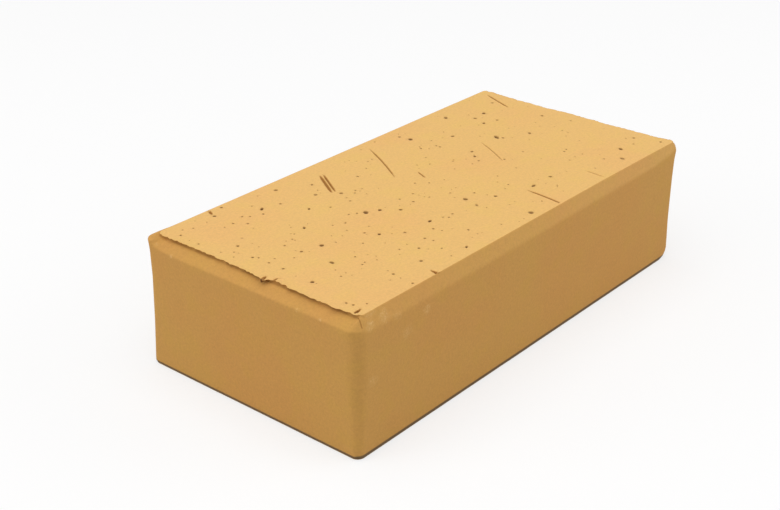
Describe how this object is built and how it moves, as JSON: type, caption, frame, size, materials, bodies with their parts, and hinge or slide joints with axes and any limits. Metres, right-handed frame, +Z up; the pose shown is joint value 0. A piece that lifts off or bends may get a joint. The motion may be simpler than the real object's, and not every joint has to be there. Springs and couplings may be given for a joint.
{
  "type": "clinker paver",
  "caption": "Rectangular fired-clay paving block with bevelled upper arrises, rounded upright corners and a wire-cut, pitted wearing face.",
  "frame": {"origin": "middle of the bed face, on the surface the paver lies on", "axes": "+X along the length, +Y across the width, +Z up through the wearing face"},
  "size_m": [0.2, 0.1, 0.052],
  "materials": {
    "fired_clay": "matt buff-yellow fired clay, fine sandy grain, dark pits and drag marks"
  },
  "bodies": {
    "root": {"clinker_paver": "fired_clay"}
  },
  "joints": []
}
